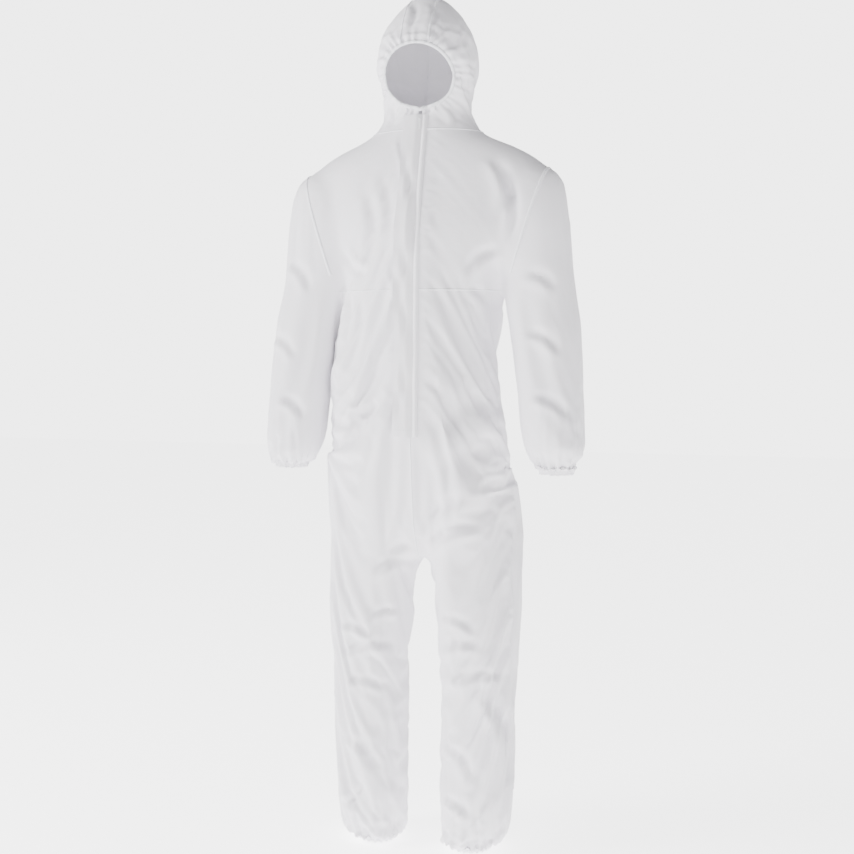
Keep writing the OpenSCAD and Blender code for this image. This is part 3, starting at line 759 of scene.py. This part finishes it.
def nonwoven(name, base, rough=0.62, bump=0.35, scale=1.0):
    """Spun-bonded cloth: pale fibres pressed at a grid of small points, with faint cloudiness and fine crinkle."""
    m = Nodes(name, base, rough, 0.3)
    where = place(m)
    fibres = m.new("ShaderNodeTexNoise", Scale=420.0 * scale, Detail=6.0, Roughness=0.7)
    cloud = m.new("ShaderNodeTexNoise", Scale=9.0, Detail=3.0, Roughness=0.5)
    crinkle = m.new("ShaderNodeTexNoise", Scale=46.0, Detail=4.0, Roughness=0.55, Distortion=0.4)
    dots = m.new("ShaderNodeTexVoronoi", Scale=560.0 * scale, Randomness=0.15)
    for node in (fibres, cloud, crinkle, dots):
        m.link(where, "Object", node, "Vector")
    tint = m.new("ShaderNodeMix")
    tint.data_type = "RGBA"
    m.link(cloud, "Fac", tint, "Factor")
    tint.inputs[6].default_value = (base[0] * 0.955, base[1] * 0.95, base[2] * 0.985, 1)
    tint.inputs[7].default_value = (*base, 1)
    speck = m.new("ShaderNodeMapRange", From_Min=0.3, From_Max=0.7, To_Min=0.965, To_Max=1.0)
    m.link(fibres, "Fac", speck, "Value")
    shade = m.new("ShaderNodeMix")
    shade.data_type = "RGBA"
    shade.blend_type = "MULTIPLY"
    shade.inputs[0].default_value = 1.0
    m.tree.links.new(tint.outputs[2], shade.inputs[6])
    m.tree.links.new(speck.outputs[0], shade.inputs[7])
    m.tree.links.new(shade.outputs[2], m.shader.inputs["Base Color"])
    wear = m.new("ShaderNodeMapRange", From_Min=0.3, From_Max=0.7, To_Min=rough - 0.06, To_Max=rough + 0.08)
    m.link(cloud, "Fac", wear, "Value")
    m.link(wear, "Result", m.shader, "Roughness")
    press = m.new("ShaderNodeBump", Strength=bump * 0.5, Distance=0.00025)
    m.link(dots, "Distance", press, "Height")
    fine = m.new("ShaderNodeBump", Strength=bump * 0.6, Distance=0.00020)
    m.link(fibres, "Fac", fine, "Height")
    m.link(press, "Normal", fine, "Normal")
    soft = m.new("ShaderNodeBump", Strength=bump, Distance=0.0016)
    m.link(crinkle, "Fac", soft, "Height")
    m.link(fine, "Normal", soft, "Normal")
    m.link(soft, "Normal", m.shader, "Normal")
    m.set(m.shader, "Sheen Weight", 0.25)
    m.set(m.shader, "Sheen Roughness", 0.5)
    m.set(m.shader, "Subsurface Weight", 0.12)
    m.set(m.shader, "Subsurface Radius", (0.004, 0.004, 0.0045))
    m.set(m.shader, "Subsurface Scale", 1.0)
    return m.mat


def knitted(name, base):
    """Covered elastic and woven tape: fine ribs."""
    m = Nodes(name, base, 0.8, 0.2)
    where = place(m)
    ribs = m.new("ShaderNodeTexWave", Scale=420.0, Distortion=1.2, Detail=2.0)
    ribs.bands_direction = "DIAGONAL"
    m.link(where, "Object", ribs, "Vector")
    tone = m.new("ShaderNodeMapRange", To_Min=0.9, To_Max=1.0)
    m.link(ribs, "Fac", tone, "Value")
    mix = m.new("ShaderNodeMix")
    mix.data_type = "RGBA"
    mix.blend_type = "MULTIPLY"
    mix.inputs[0].default_value = 1.0
    mix.inputs[6].default_value = (*base, 1)
    m.tree.links.new(tone.outputs[0], mix.inputs[7])
    m.tree.links.new(mix.outputs[2], m.shader.inputs["Base Color"])
    bump = m.new("ShaderNodeBump", Strength=0.5, Distance=0.0004)
    m.link(ribs, "Fac", bump, "Height")
    m.link(bump, "Normal", m.shader, "Normal")
    m.set(m.shader, "Sheen Weight", 0.3)
    return m.mat


def painted(obj, material):
    obj.data.materials.clear()
    obj.data.materials.append(material)


# ---------------------------------------------------------------- each piece's placement, baked into its mesh


def hip_blend(obj):
    """Bakes the hip panel's placement into its mesh."""
    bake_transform(obj)


def shoulder_blend(obj):
    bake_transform(obj)


def elbow_blend(obj):
    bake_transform(obj)


def knee_blend(obj):
    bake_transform(obj)


def hood_blend(obj):
    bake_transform(obj)


def flap_blend(obj):
    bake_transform(obj)


def side_name(side):
    return "left" if side > 0 else "right"


# ---------------------------------------------------------------- the suit

DRAPE_FRAMES = 24
DRAPE_LIMIT = 0.026
VOXEL = 0.010
CLOTH_THICK = 0.0006


def sewn_garment():
    """The whole skin of the suit, hung, creased, cut along its seams and gathered at its elastics."""
    made = garment_volume(VOXEL)
    drape(made)
    finer = made.modifiers.new("finer", "SUBSURF")
    finer.levels = finer.render_levels = 1
    applied(made)
    creased(made)
    cut_up(made)
    gathers(made)
    return made


def face_edge(cloth):
    """The points of the cloth's edge round the face opening."""
    bm = bmesh.new()
    bm.from_mesh(cloth.data)
    edge = [tuple(v.co) for v in bm.verts if v.is_boundary and v.co.y < 0 and v.co.z > 0.04]
    bm.free()
    return [at for at in edge if face_distance(np.array([at]))[0] < 1.2]


garment = sewn_garment()
skin = BVHTree.FromPolygons(
    [v.co for v in garment.data.vertices], [tuple(f.vertices) for f in garment.data.polygons]
)
on_skin = nearest_normal(skin)
rim_points = face_edge(garment)
pieces = panels(garment, CLOTH_THICK)

CLOTH = nonwoven("suit_cloth", (0.875, 0.855, 0.885))
FLAP_CLOTH = nonwoven("flap_cloth", (0.885, 0.865, 0.89), scale=1.1)
THREAD = knitted("thread", (0.84, 0.84, 0.87))
ELASTIC = knitted("covered_elastic", (0.80, 0.80, 0.83))
SEAM = nonwoven("seam_cloth", (0.88, 0.875, 0.90), bump=0.5)

grid = flap_rows(front_surface(skin))
flap = sheet_from_grid("storm_flap_cloth", grid, 0.0009)
flap_stitches = stitch_row("flap_stitches", grid[:, 2] - np.array([0, 0.0004, 0]), on_skin)
flap_end_stitches = stitch_row("flap_end_stitches", grid[-4] - np.array([0, 0.0005, 0]), on_skin)
rim = swept("face_rim", [(face_rim(rim_points), True)], 0.0075, 0.0052, on_skin, sides=12, rise=0.0004)


def near(value, target):
    return abs(value - target) < 6e-4


def on_armhole(p):
    point, normal = ARMHOLE
    return abs((abs(p.x) - point.x) * normal.x + (p.z - point.z) * normal.z) < 8e-4


def torso_ride(obj):
    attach(obj, "torso")


def add_seam(name, owner, wanted, mover, wide=0.0034, tall=0.0013):
    """A raised bead along the edges of a panel that meet the test."""
    runs = edge_paths(pieces[owner], wanted)
    if runs:
        made = swept(name, runs, wide, tall, on_skin, rise=0.0003)
        painted(made, SEAM)
        mover(made)


def on_chest_seam(p):
    return near(p.z, CHEST_SEAM)


def on_middle(p):
    return near(p.x, 0)


for side in (1, -1):
    n = side_name(side)
    add_seam("armhole_seam_" + n, "sleeve_" + n, on_armhole, torso_ride, 0.006, 0.003)
    add_seam("chest_seam_" + n, "chest_panel_" + n, on_chest_seam, torso_ride)
    add_seam("neckline_seam_" + n, "collar_" + n, lambda p: near(p.z, NECKLINE), torso_ride, 0.004, 0.0016)
    add_seam("hood_seam_" + n, "hood_side_" + n, lambda p: near(abs(p.x), CROWN_STRIP), hood_blend, 0.005, 0.002)
    if side > 0:
        add_seam("centre_seam_left", "front_panel_left", lambda p: on_middle(p) and p.z < SLIT_END, torso_ride)
add_seam("crotch_seam", "hip_panel_left", on_middle, torso_ride)
add_seam("centre_back_seam", "back_panel_left", on_middle, torso_ride)
add_seam("yoke_seam", "yoke_panel", on_chest_seam, torso_ride)


def waist_strip():
    """The elastic across the back of the waist, laid on the cloth."""
    rises, places = np.linspace(0.012, -0.012, 5), np.linspace(0.135, -0.170, 80)
    points = []
    for rise in rises:
        for x in places:
            hit = skin.ray_cast(Vector((x, 0.6, WAIST + rise)), Vector((0, -1, 0)))
            points.append((x, hit[0].y - 0.0022, WAIST + rise))
    count = len(places)
    faces = [
        (i * count + j, i * count + j + 1, (i + 1) * count + j + 1, (i + 1) * count + j)
        for i in range(len(rises) - 1) for j in range(count - 1)
    ]
    return shell("waist_band", np.array(points), np.tile((0.0, 1.0, 0.0), (len(points), 1)), faces, 0.001)


waist_band = waist_strip()
painted(waist_band, ELASTIC)
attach(waist_band, "torso")
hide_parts("waist_elastic")
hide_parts("chest_seam_binding")
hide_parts("neck_seam_binding")

for name, obj in pieces.items():
    painted(obj, CLOTH)
for name in (
    "chest_panel_left", "chest_panel_right", "front_panel_left", "front_panel_right", "back_panel_left",
    "back_panel_right", "yoke_panel", "collar_left", "collar_right",
):
    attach(pieces[name], "torso")
for name in ("hood_crown", "hood_side_left", "hood_side_right"):
    hood_blend(pieces[name])
for side in (1, -1):
    n = side_name(side)
    hip_blend(pieces["hip_panel_" + n])
    shoulder_blend(pieces["sleeve_" + n])
    elbow_blend(pieces["lower_sleeve_" + n])
    knee_blend(pieces["lower_leg_" + n])

painted(flap, FLAP_CLOTH)
flap_blend(flap)
for obj in (flap_stitches, flap_end_stitches):
    painted(obj, THREAD)
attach(flap_stitches, "torso")
flap_blend(flap_end_stitches)
painted(rim, ELASTIC)
hood_blend(rim)

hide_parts("hood_left")
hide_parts("hood_right")
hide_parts("hood_centre")
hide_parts("face_elastic")
for side in (1, -1):
    n = side_name(side)
    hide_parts("neck_" + n)
    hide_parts("chest_" + n)
    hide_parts("front_" + n)
    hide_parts("back_" + n)
    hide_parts(n + "_hip", n + "_thigh")
    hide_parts(n + "_knee", n + "_shin", n + "_leg_end")
    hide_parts(n + "_sleeve_head", n + "_sleeve_upper")
    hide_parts(n + "_sleeve_elbow", n + "_sleeve_forearm", n + "_cuff")
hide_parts("back_yoke")
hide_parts("crotch_gusset")
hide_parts("storm_flap", "flap_sewn_strip", "flap_adhesive", "flap_liner")
bpy.data.objects.remove(garment)


# ---------------------------------------------------------------- camera, floor and light

CAMERA_TURN = 15
CAMERA_FAR = 2.5
CAMERA_Z = -0.44
AIM_Z = -0.628
VIEW_W = 1.856
AROUND_LIGHT = 0.42  # what the surroundings give the suit
AROUND_SEEN = 4.4  # how bright the camera sees them
FLOOR_GLOW = 3.8
LAMPS = (((-3.0, -1.5, 0.9), 1.2, 185), ((-0.6, -3.6, 0.6), 2.4, 30))  # place, size and power


def camera():
    made = bpy.data.objects.new("camera", bpy.data.cameras.new("camera"))
    bpy.context.scene.collection.objects.link(made)
    turn, far = math.radians(CAMERA_TURN), CAMERA_FAR
    made.location = (far * math.sin(turn), -far * math.cos(turn), CAMERA_Z)
    aim = Vector((0, 0, AIM_Z))
    made.rotation_euler = (aim - made.location).to_track_quat("-Z", "Y").to_euler()
    made.data.sensor_width = 36
    made.data.lens = 36 * far / VIEW_W
    made.data.clip_end = 60
    bpy.context.scene.camera = made


def surroundings():
    """A pale world that the camera sees brighter than it lights the suit."""
    world = bpy.data.worlds.new("studio")
    bpy.context.scene.world = world
    world.use_nodes = True
    tree = world.node_tree
    around = tree.nodes["Background"]
    around.inputs[0].default_value = (0.97, 0.975, 1, 1)
    around.inputs[1].default_value = AROUND_LIGHT
    seen = tree.nodes.new("ShaderNodeBackground")
    seen.inputs[0].default_value = (1, 1, 1, 1)
    seen.inputs[1].default_value = AROUND_SEEN
    rays = tree.nodes.new("ShaderNodeLightPath")
    either = tree.nodes.new("ShaderNodeMixShader")
    tree.links.new(rays.outputs["Is Camera Ray"], either.inputs[0])
    tree.links.new(around.outputs[0], either.inputs[1])
    tree.links.new(seen.outputs[0], either.inputs[2])
    tree.links.new(either.outputs[0], tree.nodes["World Output"].inputs[0])


def pale_floor():
    floor = new_object("floor", [(-9, -9, 0), (9, -9, 0), (9, 9, 0), (-9, 9, 0)], [(0, 1, 2, 3)])
    floor.location.z = low("left_ankle_elastic")[2] - 0.004
    pale = Nodes("pale_floor", (0.93, 0.93, 0.93), 0.9, 0.1)
    pale.set(pale.shader, "Emission Color", (1, 1, 1, 1))
    pale.set(pale.shader, "Emission Strength", FLOOR_GLOW)
    painted(floor, pale.mat)


camera()
surroundings()
pale_floor()
for at, size, power in LAMPS:
    lamp = bpy.data.objects.new("lamp", bpy.data.lights.new("lamp", "AREA"))
    lamp.data.size = size
    lamp.data.energy = power
    lamp.location = at
    lamp.rotation_euler = (Vector((0, 0, -0.6)) - lamp.location).to_track_quat("-Z", "Y").to_euler()
    bpy.context.scene.collection.objects.link(lamp)
